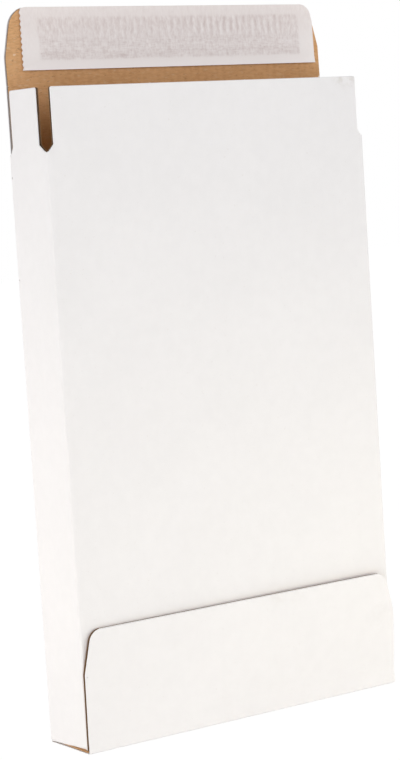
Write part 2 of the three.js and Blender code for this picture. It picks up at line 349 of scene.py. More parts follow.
class Finish(Wiring):
    """A material with one Principled shader, built by expressions on wires."""

    def __init__(self, name):
        self.material = bpy.data.materials.new(name)
        self.material.use_nodes = True
        super().__init__(self.material.node_tree)
        self.object = self.node("ShaderNodeTexCoord", out="Object")

    def axes(self):
        """The three coordinates in millimetres."""
        split = self.node("ShaderNodeSeparateXYZ", sockets={"Vector": self.object}, out=None)
        return [Wire(self, socket) / MM for socket in split.outputs]

    def noise(self, size, detail=2.0, roughness=0.5, stretch=(1, 1, 1), shift=(0, 0, 0)):
        """Noise whose features are about `size` millimetres, stretched along the axes."""
        scale = tuple(1 / (size * MM * s) for s in stretch)
        sockets = {"Vector": self.object, "Scale": scale, "Location": shift}
        place = self.node("ShaderNodeMapping", sockets=sockets)
        sockets = {"Vector": place, "Scale": 1.0, "Detail": detail, "Roughness": roughness}
        return self.node("ShaderNodeTexNoise", sockets=sockets, out="Fac")

    def step(self, value, low, high):
        """0 below low, 1 above high, smooth between; low may be the greater."""
        sockets = {"Value": value, "From Min": low, "From Max": high}
        return self.node("ShaderNodeMapRange", {"interpolation_type": "SMOOTHSTEP"}, sockets)

    def band(self, value, low, high, soft):
        """1 between low and high, with soft borders."""
        return self.step(value, low - soft, low + soft) * self.step(value, high + soft, high - soft)

    def spot(self, place, radius, soft):
        """1 within about `radius` of a point."""
        sockets = {0: self.object, 1: tuple(c * MM for c in place)}
        far = self.node("ShaderNodeVectorMath", {"operation": "DISTANCE"}, sockets, out="Value")
        return self.step(far / MM, radius * (1 + soft), radius * (1 - soft))

    def mix(self, share, first, second):
        """A colour between two."""
        colours = [c if isinstance(c, Wire) else (*c, 1.0) for c in (first, second)]
        sockets = {"Factor_Float": share, "A_Color": colours[0], "B_Color": colours[1]}
        return self.node("ShaderNodeMix", {"data_type": "RGBA"}, sockets, out="Result_Color")

    def done(self, colour, height, depth, roughness, gloss):
        """Adds the shader. The depth of the relief is in millimetres."""
        relief = {"Height": height, "Distance": depth * MM}
        sockets = {
            "Base Color": colour,
            "Roughness": roughness,
            "Specular IOR Level": gloss,
            "Normal": self.node("ShaderNodeBump", sockets=relief, out="Normal"),
        }
        shader = self.node("ShaderNodeBsdfPrincipled", sockets=sockets)
        self.node("ShaderNodeOutputMaterial", sockets={"Surface": shader}, out=None)
        return self.material


# Marks on the white face: place, radius and strength of each
SPECKS = [
    ((-33.7, FRONT - BOARD, 41.1), 0.5, 0.2),
    ((-79.2, FRONT - BOARD, 31.4), 0.45, 0.35),
    ((-HALF, REAR - 1.5, 231.0), 0.45, 0.35),
    ((-HALF, REAR - 1.5, 190.0), 0.4, 0.3),
]
SMUDGES = [
    ((17.2, FRONT - BOARD, 49.0), 3.5, 0.1),
    ((27.0, FRONT - BOARD, 46.7), 3.0, 0.06),
    ((72.8, FRONT - BOARD, 31.0), 6.0, 0.05),
    ((68.0, FRONT, 264.2), 2.2, 0.22),
    ((72.0, FRONT, 263.6), 2.6, 0.3),
    ((75.5, FRONT, 263.8), 2.2, 0.22),
]

# Pale chips on the brown face beside the tape, in the same way
CHIP_LEVEL = REAR - BOARD + 0.33
CHIPS = [
    ((-75.3, CHIP_LEVEL, 280.0), 0.45, 0.6),
    ((-74.7, CHIP_LEVEL, 280.1), 0.35, 0.45),
]

# Colours of marks and fibres, and of painted shade on the brown face
SPECK_COLOUR = srgb(84, 64, 50)
SMUDGE_COLOUR = srgb(184, 174, 160)
FLECK_COLOUR = srgb(190, 178, 168)
CHIP_COLOUR = srgb(240, 218, 190)
PALE_FIBRE = srgb(222, 186, 148)
DARK_FIBRE = srgb(122, 82, 48)
PAINTED_SHADE_BROWN = srgb(176, 128, 82)
INSIDE_SHADE_BROWN = srgb(164, 110, 44)
TORN_WHITE = srgb(236, 230, 224)

# Where the brown face takes painted shade below the seal crease and painted shade inside the tube, and is
# torn beside a cut: from and to
PAINTED_SHADE_HEIGHT = (SEAL_CREASE + 8, SEAL_CREASE + 2.5)
PAINTED_SHADE_WIDTH = (-78, -50)
INSIDE_SHADE_TOP = (SEAL_CREASE - 3, REAR_CREASE)
INSIDE_SHADE_BASE = (3 * BOARD, 6 * BOARD)
TORN_WIDTH = (CLOSURE_LEFT + 1.6, CLOSURE_LEFT + 0.8)
TORN_DEPTH = (REAR - BOARD - 0.25, REAR - BOARD - 0.1)
TORN_HEIGHT = (REAR_CREASE, SEAL_CREASE - 3)

# Where the flutes' bars on the liner begin, are at their strongest and end
BARS_BEGIN = (-52, -30)
BARS_STRONG = (-10, 25)
BARS_END = (GLUE_RIGHT - 6, GLUE_RIGHT - 10)

# Length of a fibre to its width, the mean of a noise, and second shades as shares of a colour
FIBRE_STRETCH = 3.5
MEAN = 0.5
EDGE_SHADE = 0.78
GLUE_CLOUD = 1.2


def flute_phase(along, board):
    """How far a point is through the flutes' wave, in radians."""
    return along * (TURN / (board.pitch / MM))


def white_finish(name, board, across):
    """Bleached outer face. `across` says how far x and y run across the flutes."""
    made = Finish(name)
    x, y, _ = made.axes()
    cloud = made.noise(size=38, detail=3)
    mottle = made.noise(size=5, detail=4, roughness=0.6)
    tooth = made.noise(size=0.5, detail=3, roughness=0.6)
    ripple = flute_phase(x * across[0] + y * across[1], board).maths("SINE")
    share = cloud * 0.8 + mottle * 0.8 + ripple * 0.012 - 0.3
    colour = made.mix(made.step(share, 0.1, 0.9), board.white, board.white_shade)
    fleck = made.noise(size=0.9, detail=1, roughness=0.4, shift=(3, 7, 1))
    colour = made.mix(made.step(fleck, 0.74, 0.8) * 0.12, colour, FLECK_COLOUR)
    for place, radius, strength in SPECKS:
        colour = made.mix(made.spot(place, radius, 0.6) * strength, colour, SPECK_COLOUR)
    for place, radius, strength in SMUDGES:
        smudge = made.spot(place, radius, 0.9) * made.step(mottle, 0.35, 0.65) * strength
        colour = made.mix(smudge, colour, SMUDGE_COLOUR)
    height = ripple * 0.015 + tooth * 0.35 + mottle * 0.3
    return made.done(colour, height, depth=0.03, roughness=0.72, gloss=0.3)


def kraft_finish(name, board, across):
    """Unbleached inner face with its fibres, and painted shade below the seal crease and inside the tube."""
    made = Finish(name)
    x, y, z = made.axes()
    stretch = (*[FIBRE_STRETCH if way else 1.0 for way in across], 1.0)
    cloud = made.noise(size=22, detail=3)
    fibre = made.noise(size=0.8, detail=4, roughness=0.65, stretch=stretch)
    grain = made.noise(size=0.35, roughness=0.6)
    ripple = flute_phase(x * across[0] + y * across[1], board).maths("SINE")
    share = cloud * 0.6 + fibre * 1.6 + ripple * 0.05 - 0.6
    colour = made.mix(made.step(share, 0.2, 0.85), board.kraft, board.kraft_shade)
    pale = made.noise(size=0.7, stretch=stretch, shift=(9, 2, 5))
    colour = made.mix(made.step(pale, 0.59, 0.7) * 0.75, colour, PALE_FIBRE)
    dark = made.noise(size=0.6, stretch=stretch, shift=(1, 6, 3))
    colour = made.mix(made.step(dark, 0.63, 0.72) * 0.45, colour, DARK_FIBRE)
    # Painted shade: the brown face darker from just above the seal crease down, most right of the open left
    # end
    painted_shade = made.step(z, *PAINTED_SHADE_HEIGHT) * (0.05 + made.step(x, *PAINTED_SHADE_WIDTH) * 0.3)
    colour = made.mix(painted_shade, colour, PAINTED_SHADE_BROWN)
    # Painted shade: the brown face darker inside the tube, fading out just above the closed end
    inside = made.step(z, *INSIDE_SHADE_TOP) * made.step(z, *INSIDE_SHADE_BASE)
    colour = made.mix(inside * 0.6, colour, INSIDE_SHADE_BROWN)
    torn = made.step(x, *TORN_WIDTH) * made.step(y, *TORN_DEPTH) * made.band(z, *TORN_HEIGHT, soft=1.0)
    colour = made.mix(torn * 0.85, colour, TORN_WHITE)
    for place, radius, strength in CHIPS:
        colour = made.mix(made.spot(place, radius, 0.5) * strength, colour, CHIP_COLOUR)
    height = ripple * 0.08 + fibre * 0.4 + grain * 0.3
    return made.done(colour, height, depth=0.04, roughness=0.8, gloss=0.25)


def edge_finish(name, board):
    """Fluted paper and the raw thickness of the faces, in the fluted paper's own colour darkened as painted
    shade of the flute hollows.
    """
    made = Finish(name)
    fibre = made.noise(size=0.4, detail=3, roughness=0.6)
    dark = tuple(c * EDGE_SHADE for c in board.edge)
    colour = made.mix(made.step(fibre, 0.3, 0.7), board.edge, dark)
    return made.done(colour, fibre, depth=0.04, roughness=0.85, gloss=0.2)


def liner_finish(name, board, tape):
    """Release liner: pale at its border, mottled where stuck, with bars where the flutes hold it off."""
    made = Finish(name)
    x, _, z = made.axes()
    low, high = [SEAL_CREASE + h * math.cos(SEAL_LEAN) for h in (GLUE_LOW, GLUE_HIGH)]
    middle = (low + high) / 2
    wander = (made.noise(size=6, detail=3, roughness=0.6) - MEAN) * 2.0
    inside = made.band(x + wander, GLUE_LEFT, GLUE_RIGHT + 0.9, soft=0.8)
    inside = inside * made.band(z + wander * 0.6, low, high, soft=0.8)
    upper = made.step(z + wander, middle - 1.5, middle + 1.5)
    drift = (made.noise(size=14, detail=1, shift=(4, 4, 4)) - MEAN) * 1.8
    uneven = (made.noise(size=2.6, stretch=(1.0, 1.0, 4.0), shift=(2, 8, 6)) - MEAN) * 9.0
    reach = made.band(z + uneven, middle + 0.8, high - 0.8, soft=1.0)
    strength = made.step(x, *BARS_BEGIN) * 0.5 + made.step(x, *BARS_STRONG) * 0.5
    bars = (flute_phase(x, board) + drift).maths("SINE") * reach * strength * made.step(x, *BARS_END)
    upright = made.noise(size=1.1, detail=4, roughness=0.65, stretch=(1.0, 1.0, 2.4))
    level = made.noise(size=0.9, detail=3, roughness=0.6, stretch=(3.0, 1.0, 0.7))
    patch = made.noise(size=7, stretch=(3.0, 1.0, 1.0), shift=(5, 1, 7))
    foot = made.band(z + wander, low, low + 3.6, soft=0.7) * made.step(patch, 0.3, 0.6)
    share = 0.02 + made.step(z, low - 3, high) * 0.38
    share = share + inside * (0.14 + (1 - upper) * 0.1 + foot * 0.14 - bars * 0.14)
    share = share + (upright - MEAN) * (0.3 + inside * 0.7)
    share = share + (level - MEAN) * (1 - upper) * inside * 0.7
    share = made.step(share, 0.0, 1.0)
    colour = made.mix(share, tape.paper, tape.stuck)
    tooth = made.noise(size=0.6)
    height = bars * inside * 0.5 + tooth * 0.25 + upright * inside * 0.4
    return made.done(colour, height, depth=0.05, roughness=0.45 + share * 0.15, gloss=0.3)


def glue_finish(name, tape):
    """Adhesive film, a little cloudy."""
    made = Finish(name)
    cloud = made.noise(size=2.5, detail=3)
    pale = tuple(min(c * GLUE_CLOUD, 1.0) for c in tape.glue)
    return made.done(made.mix(cloud, tape.glue, pale), cloud, depth=0.03, roughness=0.35, gloss=0.5)


finishes = {}


def finish_of(kind, across=FRONT_FLUTES):
    """The finish of a kind of surface, made once."""
    key = kind + ("_side" if across == SIDE_FLUTES else "")
    if key not in finishes:
        settings = bpy.context.scene.letter_mailer
        makers = {
            "white_face": lambda: white_finish(key, settings.board, across),
            "brown_face": lambda: kraft_finish(key, settings.board, across),
            "cut_edge": lambda: edge_finish(key, settings.board),
            "release_paper": lambda: liner_finish(key, settings.board, settings.tape),
            "adhesive_film": lambda: glue_finish(key, settings.tape),
        }
        finishes[key] = makers[kind]()
    return finishes[key]


def board_finishes(across=FRONT_FLUTES):
    """White face, brown face and cut edge."""
    return [finish_of("white_face", across), finish_of("brown_face", across), finish_of("cut_edge")]


def oblong(left, right, low, high, corner=0):
    """Corners of a rectangle, anticlockwise."""
    return [(left, low, corner), (right, low, corner), (right, high, corner), (left, high, corner)]


def tapered(left, right, base, end, left_taper, right_taper, left_corner=TAPER_CORNER):
    """A flap's outline: straight sides, then a taper to a rounded end."""
    return [
        (left, base, 0),
        (right, base, 0),
        (right, end - right_taper, TAPER_KINK),
        (right - TAPER_INSET, end, TAPER_CORNER),
        (left + TAPER_INSET, end, left_corner),
        (left, end - left_taper, TAPER_KINK),
    ]


def seal_outline(trim=0.0, setback=0.0):
    """The seal flap's outline, or one trimmed inside it or set back at its left side."""
    left, right, end = CLOSURE_LEFT + trim + setback, CLOSURE_RIGHT - trim, SEAL_LENGTH - trim
    return tapered(left, right, GAP, end, SEAL_LEFT_TAPER, SEAL_RIGHT_TAPER, SEAL_LEFT_CORNER)


def slotted(left_base, right_base, left, right, crease, end):
    """A top flap's outline, wide at its base and sloped above the slots' foot, and its two convex parts."""
    foot, rise = [FRONT_CREASE + level - crease for level in (SLOT_FOOT, SLOT_RISE)]
    corners = [
        (left_base, GAP, 0),
        (right_base, GAP, 0),
        (right_base, foot, 0),
        (right, rise, 0),
        (right, end, FLAP_CORNER),
        (left, end, FLAP_CORNER),
        (left, rise, 0),
        (left_base, foot, 0),
    ]
    base = [*corners[:4], *corners[6:]]
    upper = rounded(corners[3:7])
    return corners, [base, upper]


def reach_of(corners, i):
    """How far along its sides a corner's rounding starts."""
    here = Vector(corners[i][:2])
    before = Vector(corners[i - 1][:2]) - here
    after = Vector(corners[(i + 1) % len(corners)][:2]) - here
    half = before.angle(after) / 2
    return min(corners[i][2] / math.tan(half), CORNER_SHARE * min(before.length, after.length))


def round_off(shell, geom, offset, affect):
    """Rounds corners or edges, from `offset` millimetres away."""
    bmesh.ops.bevel(
        shell,
        geom=geom,
        offset=offset * MM,
        offset_type="OFFSET",
        affect=affect,
        segments=ARC_STEPS,
        profile=0.5,
        material=-1,
    )


def flat_face(corners):
    """A flat face through corners (u, v, radius)."""
    shell = bmesh.new()
    verts = [shell.verts.new((u * MM, v * MM, 0)) for u, v, _ in corners]
    shell.faces.new(verts)
    for i, vert in enumerate(verts):
        if corners[i][2]:
            round_off(shell, [vert], reach_of(corners, i), "VERTICES")
    return shell


def rounded(corners):
    """An outline with its roundings as short sides, for what is cut to it."""
    shell = flat_face(corners)
    loops = shell.faces[:][0].loops
    points = [(loop.vert.co.x / MM, loop.vert.co.y / MM, 0) for loop in loops]
    shell.free()
    area = sum(a[0] * b[1] - b[0] * a[1] for a, b in zip(points, points[1:] + points[:1]))
    return points if area > 0 else points[::-1]


def only(geom, kind):
    """The elements of one kind."""
    return [e for e in geom if isinstance(e, kind)]


def thicken(shell, low, high):
    """Gives a flat shell thickness, from level low to level high."""
    made = bmesh.ops.extrude_face_region(shell, geom=shell.faces[:])
    risen = only(made["geom"], bmesh.types.BMVert)
    bmesh.ops.translate(shell, verts=risen, vec=(0, 0, (high - low) * MM))
    bmesh.ops.translate(shell, verts=shell.verts[:], vec=(0, 0, low * MM))
    return shell


def plate(corners, low, high):
    """A flat plate between two levels."""
    return thicken(flat_face(corners), low, high)


def divide(shell, place, out, trim=False):
    """Divides a shell along a plane, and can take off what is beyond it."""
    everything = shell.verts[:] + shell.edges[:] + shell.faces[:]
    bmesh.ops.bisect_plane(shell, geom=everything, plane_co=place, plane_no=out, clear_outer=trim)


def score(shell, columns=(), rows=()):
    """Divides a shell along straight lines, so that it can be bent."""
    for axis, levels in enumerate((columns, rows)):
        for level in levels:
            place, out = Vector(), Vector()
            place[axis], out[axis] = level * MM, 1
            divide(shell, place, out)


def cut_to(shell, corners, margin=0.0):
    """Trims a shell to a convex outline, given anticlockwise, or to a margin inside it."""
    for i, (u, v, _) in enumerate(corners):
        after = corners[(i + 1) % len(corners)]
        out = Vector((after[1] - v, u - after[0], 0)).normalized()
        divide(shell, (Vector((u, v, 0)) - out * margin) * MM, out, trim=True)


def pressed_face(corners, press, creases, columns=(), rows=(), ends=()):
    """A flat face pressed back at its cut edges, but level beside its creases, there only between `ends`."""
    shell = flat_face(corners)
    beside = [crease + side * CREASE_REACH for crease in creases for side in (-1, 1)]
    score(shell, [*columns, *ends], [*rows, *beside])

    def level(vert):
        u, v, _ = vert.co / MM
        within = not ends or ends[0] - NEAR < u < ends[1] + NEAR
        return within and any(abs(v - crease) < CREASE_REACH / 2 for crease in creases)

    rim = {v for e in shell.edges if e.is_boundary for v in e.verts}
    inner = shell.faces[:]
    rings = []
    for width in PRESS_WIDTHS:
        made = bmesh.ops.inset_region(
            shell, faces=inner, use_boundary=True, use_even_offset=True, thickness=width * MM
        )
        rings.append({v for f in made["faces"] for v in f.verts})
    for verts, share in zip((rim, rings[0] - rim), PRESS_SHARES):
        for vert in verts:
            if not level(vert):
                vert.co.z -= share * press * MM
    return shell


def flute_sheet(corners, margin=0.0):
    """The fluted paper inside a convex outline, between the two faces."""
    board = bpy.context.scene.letter_mailer.board
    low, high = board.face / MM, BOARD - board.face / MM
    shell = bmesh.new()
    left, right = min(c[0] for c in corners), max(c[0] for c in corners)
    base, end = min(c[1] for c in corners), max(c[1] for c in corners)
    pitch, paper = board.pitch / MM, board.medium / MM
    columns = max(math.ceil((right - left) / pitch * FLUTE_STEPS), 2)
    bmesh.ops.create_grid(shell, x_segments=columns, y_segments=1, size=1.0)
    place = Matrix.Translation(((left + right) / 2 * MM, (base + end) / 2 * MM, 0))
    scale = Matrix.Diagonal(((right - left) / 2 * MM, (end - base) / 2 * MM, 1, 1))
    shell.transform(place @ scale)
    middle, swing = (low + high) / 2, (high - low - paper) / 2
    for vert in shell.verts:
        vert.co.z = (middle + swing * math.sin(vert.co.x / MM / pitch * TURN)) * MM
    cut_to(shell, corners, margin)
    bmesh.ops.solidify(shell, geom=shell.faces[:], thickness=paper * MM)
    middle_now = sum(v.co.z for v in shell.verts) / len(shell.verts)
    bmesh.ops.translate(shell, verts=shell.verts[:], vec=(0, 0, middle * MM - middle_now))
    return shell


def edges_at(shell, test):
    """Edges whose two ends both pass a test on (x, y, z) in millimetres."""
    return [e for e in shell.edges if all(test(*(v.co / MM)) for v in e.verts)]


def pull(shell, edges, vec):
    """Extrudes edges by a vector in millimetres."""
    made = bmesh.ops.extrude_edge_only(shell, edges=edges)
    risen = only(made["geom"], bmesh.types.BMVert)
    bmesh.ops.translate(shell, verts=risen, vec=[c * MM for c in vec])
    return only(made["geom"], bmesh.types.BMEdge)


def face_out(shell):
    """Merges a shell's doubles, brings its normals up to date and points its faces outward."""
    bmesh.ops.remove_doubles(shell, verts=shell.verts[:], dist=MERGE * MM)
    shell.normal_update()
    bmesh.ops.recalc_face_normals(shell, faces=shell.faces[:])


def wall(shell, thickness):
    """Points an open shell's faces away from the middle and gives it thickness."""
    face_out(shell)
    widest = max(shell.faces, key=lambda f: f.calc_area() * abs(f.normal.y))
    if widest.normal.y * widest.calc_center_median().y < 0:
        bmesh.ops.reverse_faces(shell, faces=shell.faces[:])
    bmesh.ops.solidify(shell, geom=shell.faces[:], thickness=thickness * MM)
    return shell


class Piece:
    """A mesh gathered from closed shells, each with its own finish."""

    def __init__(self, name, *finishes):
        self.name = name
        self.finishes = finishes
        self.all = bmesh.new()

    def add(self, shell, place=None, finish=WHITE, smooth=False, shown=None):
        """Adds a shell, moved to its place. Faces that look outward less than `shown` are cut edges."""
        face_out(shell)
        outward = 1 if finish == WHITE else -1
        for face in shell.faces:
            face.material_index = finish if shown is None or face.normal.z * outward > shown else EDGE
            face.smooth = smooth
        if place is not None:
            shell.transform(place)
            face_out(shell)
        kept = bpy.data.meshes.new(self.name)
        shell.to_mesh(kept)
        shell.free()
        self.all.from_mesh(kept)
        bpy.data.meshes.remove(kept)

    def done(self):
        """The finished object, at the origin."""
        if not self.all.faces:
            raise RuntimeError(f"{self.name} has no faces")
        mesh = bpy.data.meshes.new(self.name)
        self.all.to_mesh(mesh)
        self.all.free()
        made = bpy.data.objects.new(self.name, mesh)
        for material in self.finishes:
            mesh.materials.append(material)
        bpy.context.scene.collection.objects.link(made)
        return made


def ride(made, body, node=None):
    """Puts a piece on its body and hides the part that it stands for."""
    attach(made, body)
    if node:
        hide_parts(node)


def place_of(across, up, out, origin):
    """Matrix from a flat piece's own axes to the mailer's."""
    columns = Matrix((across, up, out)).transposed().to_4x4()
    return Matrix.Translation(Vector(origin) * MM) @ columns


X, Y, Z = Vector((1, 0, 0)), Vector((0, 1, 0)), Vector((0, 0, 1))

FRONT_PLACE = place_of(X, Z, -Y, HINGES["front_fold"])
LEFT_PLACE = place_of(Y, Z, -X, HINGES["left_dust_fold"])
RIGHT_PLACE = place_of(Y, Z, X, HINGES["right_dust_fold"])
LID_PLACE = place_of(X, Z, Y, HINGES["lid_fold"] - Y * BOARD)
SEAL_TURN = Matrix.Rotation(-SEAL_LEAN, 4, "X")
SEAL_PLACE = Matrix.Translation(HINGES["seal_fold"] * MM) @ SEAL_TURN @ place_of(X, Z, Y, (0, 0, 0))
BOTTOM_FLAP_PLACE = place_of(X, Z, -Y, (0, FRONT, 0))
BOTTOM_PLACE, DUST_PLACE, TUCK_PLACE = [place_of(X, Y, -Z, (0, 0, layer * BOARD)) for layer in (1, 2, 3)]


def sandwich(piece, corners, place, cells=None, press=0.0, creases=(), inner=None, ends=()):
    """Two faces on flutes that fill convex `cells`. `inner` sets the brown face back from the edge."""
    face = bpy.context.scene.letter_mailer.board.face / MM
    outer = pressed_face(corners, press, creases, ends=ends) if press else flat_face(corners)
    piece.add(thicken(outer, BOARD - face, BOARD), place, WHITE, False, None if inner else -OUTWARD)
    piece.add(plate(inner or corners, 0, face), place, BROWN, False, OUTWARD)
    margin = PRESS_MARGIN if press else 0.0
    for cell in cells or [corners]:
        piece.add(flute_sheet(cell, margin), place, BROWN if inner else EDGE, True)


def outline_wall(half, front, rear, radius, low, thickness):
    """One face of the tube: a wall round a section, as high as each panel's crease."""
    shell = flat_face(oblong(-half, half, front, rear, radius))
    bmesh.ops.delete(shell, geom=shell.faces[:], context="FACES_ONLY")
    bmesh.ops.translate(shell, verts=shell.verts[:], vec=(0, 0, low * MM))
    side_top = DUST_CREASE - GAP
    pull(shell, shell.edges[:], (0, 0, side_top - low))
    wrap = BOARD + SLOT_TOE - SLOT_CLEARANCE
    score(shell, (), (FRONT + wrap, REAR - wrap))
    front_top = edges_at(shell, lambda x, y, z: z > side_top - NEAR and y < FRONT + wrap + NEAR)
    pull(shell, front_top, (0, 0, FRONT_CREASE - GAP - side_top))
    rear_top = edges_at(shell, lambda x, y, z: abs(z - side_top) < NEAR and y > REAR - wrap - NEAR)
    pull(shell, rear_top, (0, 0, REAR_CREASE - GAP - side_top))
    if radius:
        raise_corners(shell, half, front)
        turn_sides(shell, half, front, rear, radius, low)
    return wall(shell, thickness)


def raise_corners(shell, half, front):
    """Lifts the front corners a little between the flaps, dipped at the foot of each slot."""
    ear = half - SLOT_EAR + SLOT_CLEARANCE
    top = FRONT_CREASE - GAP - NEAR
    score(shell, (-ear, ear))
    corner_top = edges_at(shell, lambda x, y, z: abs(x) > ear - NEAR and z > top and y < 0)
    pull(shell, corner_top, (0, 0, SLOT_FOOT + GAP))
    for vert in shell.verts:
        x, y, z = vert.co / MM
        aside = abs(half - abs(x) - (y - front)) / SLOT_EAR
        if z > FRONT_CREASE + NEAR and y < 0:
            vert.co.z -= SLOT_DIP * max(1 - aside, 0) * MM


def turn_sides(shell, half, front, rear, radius, low):
    """Turns the side panels in at the closed end on round folds, and runs the others straight down."""
    straight = edges_at(shell, lambda x, y, z: abs(z - low) < NEAR and abs(x) < half - NEAR)
    pull(shell, straight, (0, 0, BOARD - low))
    for side in (-1, 1):
        turned = edges_at(shell, lambda x, y, z: abs(z - low) < NEAR and x * side > half - NEAR)
        bmesh.ops.spin(
            shell,
            geom=turned,
            cent=(side * (half - radius) * MM, 0, low * MM),
            axis=(0, side, 0),
            angle=math.pi / 2,
            steps=ARC_STEPS,
        )
    # The left fold sags towards the back
    for vert in shell.verts:
        x, y, z = vert.co / MM
        if z < low + NEAR and x < radius - half + NEAR and y < rear - radius + NEAR:
            vert.co.z -= MM * (SAG_FRONT + (SAG_REAR - SAG_FRONT) * (y - front) / (rear - front))


class MAILER_OT_tube(bpy.types.Operator):
    """Front, back and side panels with the glue lap inside"""

    bl_idname = "mailer.tube"
    bl_label = "Tube"

    def execute(self, context):
        face = context.scene.letter_mailer.board.face / MM
        piece = Piece("tube_panels", *board_finishes(), finish_of("white_face", SIDE_FLUTES))
        piece.add(outline_wall(HALF, FRONT, REAR, FOLD_RADIUS, BOARD + FOLD_RADIUS, face), None, WHITE)
        half, front, rear = HALF - BOARD + face, FRONT + BOARD - face, REAR - BOARD + face
        piece.add(outline_wall(half, front, rear, 0, BOARD, face), None, BROWN)
        low, half, front, rear = 2 * BOARD, HALF - BOARD, FRONT + BOARD, REAR - BOARD
        for place, left, right, crease in (
            (place_of(X, Z, -Y, (0, front, 0)), -half, half, FRONT_CREASE),
            (place_of(X, Z, Y, (0, rear, 0)), -half, half, REAR_CREASE),
            (place_of(Y, Z, -X, (-half, 0, 0)), front, rear, DUST_CREASE),
            (place_of(Y, Z, X, (half, 0, 0)), front, rear, DUST_CREASE),
        ):
            cell = oblong(left, right, low, crease - GAP)
            piece.add(flute_sheet(cell), place, EDGE, True)
        low, high = 3 * BOARD + LAP_MARGIN, DUST_CREASE - LAP_MARGIN
        lap = [
            (half - LAP_WIDTH, low + LAP_SLANT, 0),
            (half, low, 0),
            (half, high, 0),
            (half - LAP_WIDTH, high - LAP_SLANT, 0),
        ]
        sandwich(piece, lap, place_of(X, Z, Y, (0, REAR - 2 * BOARD, 0)))
        made = piece.done()
        for polygon in made.data.polygons:
            if polygon.material_index == WHITE and abs(polygon.normal.x) > SIDEWAYS:
                polygon.material_index = SIDE_WHITE
        ride(made, "carton", "carton_body")
        return {"FINISHED"}


def bow(shell):
    """Bends the glued bottom flap away from the front panel."""
    for vert in shell.verts:
        rise = max(vert.co.y / MM - BOW_BASE, 0) / (BOTTOM_FLAP - BOW_BASE)
        share = (vert.co.x / MM + HALF) / (2 * HALF)
        vert.co.z += (BOW_LEFT + (BOW_RIGHT - BOW_LEFT) * share) * rise * (2 - rise) * MM


def bottom_wrap(face):
    """The closed end's white face: up the front, under the mailer and round the rear fold."""
    outline = tapered(-HALF, BOTTOM_RIGHT, 2 * BOARD, BOTTOM_FLAP, BOTTOM_TAPER, BOTTOM_TAPER)
    shell = pressed_face(outline, PRESS_BOTTOM, [2 * BOARD], BOW_COLUMNS, BOW_ROWS)
    for vert in shell.verts:
        if vert.co.y / MM > BOTTOM_FLAP - PRESS_WIDTHS[0] / 2:
            vert.co.z -= PRESS_TOP * MM
    bow(shell)
    shell.transform(place_of(X, Z, -Y, (0, FRONT - BOARD, 0)))
    base = edges_at(shell, lambda x, y, z: abs(z - 2 * BOARD) < NEAR)
    front_fold = pull(shell, base, (0, 0, -2 * BOARD))
    rear_fold = pull(shell, front_fold, (0, REAR - FRONT + BOARD, 0))
    pull(shell, rear_fold, (0, 0, BOARD))
    round_off(shell, front_fold + rear_fold, BASE_FOLD, "EDGES")
    for vert in shell.verts:
        x, y, _ = vert.co / MM
        if x < NEAR - HALF and y > FRONT:
            vert.co.x += SKEW * MM * (y - FRONT) / (REAR - FRONT)
    return wall(shell, face)


class MAILER_OT_closed_end(bpy.types.Operator):
    """Bottom panel, the flap glued up the front and the flaps folded in above it"""

    bl_idname = "mailer.closed_end"
    bl_label = "Closed end"

    def execute(self, context):
        face = context.scene.letter_mailer.board.face / MM
        piece = Piece("closed_end", *board_finishes())
        piece.add(bottom_wrap(face), None, WHITE)
        inner = tapered(-HALF, BOTTOM_RIGHT, BOARD, BOTTOM_FLAP, BOTTOM_TAPER, BOTTOM_TAPER)
        brown = flat_face(inner)
        score(brown, BOW_COLUMNS, BOW_ROWS)
        bow(brown)
        piece.add(thicken(brown, 0, face), BOTTOM_FLAP_PLACE, BROWN, False, OUTWARD)
        flutes = flute_sheet(rounded(inner), BOTTOM_MARGIN)
        score(flutes, (), BOW_ROWS)
        bow(flutes)
        piece.add(flutes, BOTTOM_FLAP_PLACE, EDGE, True)
        front, rear = FRONT - face, REAR - face
        base = [(-HALF, front, 0), (BOTTOM_RIGHT, front, 0), (BOTTOM_RIGHT, rear, 0), (SKEW - HALF, rear, 0)]
        piece.add(plate(base, 0, face), BOTTOM_PLACE, BROWN, False, OUTWARD)
        piece.add(flute_sheet(base, BASE_MARGIN), BOTTOM_PLACE, BROWN, True)
        end = HALF - BOARD - DUST_LENGTH
        for side in (-1, 1):
            left, right = sorted((side * end, side * (HALF - BOARD)))
            flap = oblong(left, right, FRONT + DUST_FRONT, REAR - DUST_REAR)
            sandwich(piece, flap, DUST_PLACE)
        low = FRONT + BOARD
        tuck = oblong(-HALF + FRONT_LEFT, HALF - FRONT_RIGHT, low, low + INNER_FLAP)
        sandwich(piece, tuck, TUCK_PLACE)
        ride(piece.done(), "carton", "carton_body")
        return {"FINISHED"}


